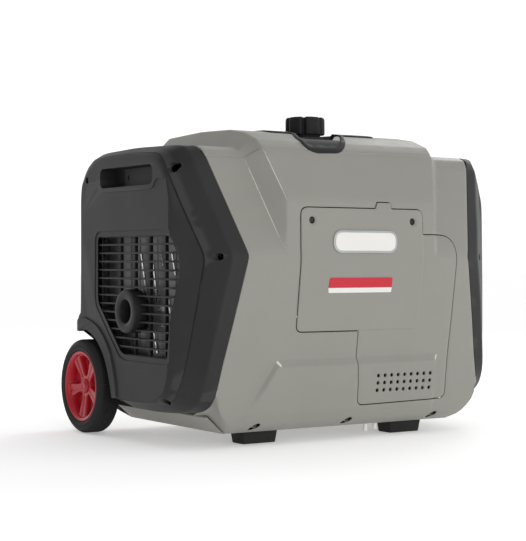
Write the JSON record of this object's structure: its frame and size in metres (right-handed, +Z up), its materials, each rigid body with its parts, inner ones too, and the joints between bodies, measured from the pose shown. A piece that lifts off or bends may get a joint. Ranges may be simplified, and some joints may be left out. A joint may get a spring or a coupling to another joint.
{
  "type": "inverter generator",
  "caption": "Portable cased generator with black end covers, louvred exhaust end, side access panel, top filler cap, control end, wheels and telescoping handle.",
  "frame": {"origin": "on the floor under the middle of the bounding box", "axes": "+X from the exhaust end to the control end, -Y service side, +Y wheel and handle side, +Z up"},
  "size_m": [0.732, 0.5005, 0.598],
  "materials": {
    "shell_grey": "fine-grained warm grey moulding",
    "cover_black": "black moulding",
    "dark_rubber": "black rubber",
    "tyre": "ribbed black tread",
    "rim_red": "glossy red",
    "steel": "bright steel",
    "alloy": "cast alloy",
    "tube_alloy": "anodised tube",
    "dark_metal": "dark paint",
    "copper": "enamelled copper windings",
    "lens": "dark display window",
    "green_button": "green",
    "red_button": "red",
    "white_button": "white",
    "panel": "dark satin panel",
    "socket_black": "black socket body",
    "tank_plastic": "black blow-moulded tank",
    "cord": "braided cord",
    "oil_yellow": "yellow",
    "ceramic_white": "white insulator"
  },
  "bodies": {
    "frame": {"base_tray": "shell_grey", "side_panel_service": "shell_grey", "top_cover": "shell_grey", "side_panel_wheel": "shell_grey", "foot_l": "dark_rubber", "foot_r": "dark_rubber", "fuel_tray": "cover_black", "fuel_tank": "tank_plastic", "exhaust_cover": "cover_black", "exhaust_grille": "cover_black", "control_cover": "cover_black", "axle": "steel", "guide_sleeve_l": "cover_black", "guide_sleeve_r": "cover_black", "control_panel": "panel", "display_lens": "lens", "duplex_outlets": "socket_black", "outlet_locking": "socket_black", "usb_ports": "socket_black", "parallel_ports": "socket_black", "ground_post": "steel", "crankcase": "alloy", "cylinder": "alloy", "valve_cover": "dark_metal", "spark_plug": "ceramic_white", "stator": "copper", "recoil_housing": "dark_metal", "isolator_front": "dark_rubber", "isolator_rear": "dark_rubber", "muffler": "steel", "heat_shield": "steel", "air_box": "cover_black", "carburettor": "alloy", "battery": "panel", "inverter_module": "alloy", "drain_tube_a": "steel", "drain_tube_b": "steel"},
    "service_cover": {"service_cover": "shell_grey"},
    "screw_l": {"cover_screw_l": "dark_metal"},
    "screw_r": {"cover_screw_r": "dark_metal"},
    "filler_seal": {"cap_gasket": "dark_rubber"},
    "filler_cap": {"fuel_cap": "cover_black"},
    "wheel_l": {"tyre_l": "tyre", "rim_l": "rim_red"},
    "wheel_r": {"tyre_r": "tyre", "rim_r": "rim_red"},
    "pull_handle": {"handle_frame": "tube_alloy", "handle_grip": "dark_rubber"},
    "release": {"handle_release": "red_button"},
    "recoil": {"recoil_grip": "cover_black", "recoil_cord": "cord"},
    "start": {"start_button": "green_button"},
    "knob": {"run_knob": "cover_black"},
    "rocker": {"eco_rocker": "cover_black"},
    "breaker_a": {"breaker_1": "red_button"},
    "breaker_b": {"breaker_2": "white_button"},
    "crank": {"crankshaft": "steel", "flywheel_fan": "dark_metal"},
    "oil_cap": {"oil_dipstick": "oil_yellow"},
    "air_lid": {"air_box_lid": "cover_black"}
  },
  "joints": [
    {"name": "service_cover_off", "type": "slide", "parent": "frame", "child": "service_cover", "axis": [0, -1, 0], "range_m": [0, 0.2]},
    {"name": "screw_l_turn", "type": "hinge", "parent": "service_cover", "child": "screw_l", "pos_m": [-0.112, -0.24, 0.398], "axis": [0, 1, 0], "range_deg": [0, 90]},
    {"name": "screw_r_turn", "type": "hinge", "parent": "service_cover", "child": "screw_r", "pos_m": [0.112, -0.24, 0.398], "axis": [0, 1, 0], "range_deg": [0, 90]},
    {"name": "fuel_cap_lift", "type": "slide", "parent": "frame", "child": "filler_seal", "axis": [0, 0, 1], "range_m": [0, 0.1]},
    {"name": "fuel_cap_turn", "type": "hinge", "parent": "filler_seal", "child": "filler_cap", "pos_m": [0, -0.063, 0.5645], "axis": [0, 0, 1], "range_deg": [0, 120]},
    {"name": "wheel_l_spin", "type": "hinge", "parent": "frame", "child": "wheel_l", "pos_m": [-0.342, 0.162, 0.0885], "axis": [1, 0, 0], "continuous": true},
    {"name": "wheel_r_spin", "type": "hinge", "parent": "frame", "child": "wheel_r", "pos_m": [0.342, 0.162, 0.0885], "axis": [1, 0, 0], "continuous": true},
    {"name": "handle_extend", "type": "slide", "parent": "frame", "child": "pull_handle", "axis": [0, 0, 1], "range_m": [0, 0.34]},
    {"name": "handle_release_press", "type": "slide", "parent": "pull_handle", "child": "release", "axis": [0, 0, -1], "range_m": [0, 0.0022], "stiffness_N_per_m": 300},
    {"name": "recoil_pull", "type": "slide", "parent": "frame", "child": "recoil", "axis": [1, 0, 0], "range_m": [0, 0.28]},
    {"name": "start_press", "type": "slide", "parent": "frame", "child": "start", "axis": [-1, 0, 0], "range_m": [0, 0.0022], "stiffness_N_per_m": 250},
    {"name": "run_knob_turn", "type": "hinge", "parent": "frame", "child": "knob", "pos_m": [0.349, 0.022, 0.408], "axis": [1, 0, 0], "range_deg": [0, 90]},
    {"name": "eco_rocker_tip", "type": "hinge", "parent": "frame", "child": "rocker", "pos_m": [0.3465, 0.077, 0.41], "axis": [0, 1, 0], "range_deg": [-8, 0]},
    {"name": "breaker_1_press", "type": "slide", "parent": "frame", "child": "breaker_a", "axis": [-1, 0, 0], "range_m": [0, 0.0022], "stiffness_N_per_m": 250},
    {"name": "breaker_2_press", "type": "slide", "parent": "frame", "child": "breaker_b", "axis": [-1, 0, 0], "range_m": [0, 0.0022], "stiffness_N_per_m": 250},
    {"name": "crank_spin", "type": "hinge", "parent": "frame", "child": "crank", "pos_m": [0, -0.02, 0.148], "axis": [1, 0, 0], "continuous": true},
    {"name": "oil_cap_out", "type": "slide", "parent": "frame", "child": "oil_cap", "axis": [0, -1, 0], "range_m": [0, 0.08]},
    {"name": "air_lid_off", "type": "slide", "parent": "frame", "child": "air_lid", "axis": [0, -1, 0], "range_m": [0, 0.025]}
  ]
}
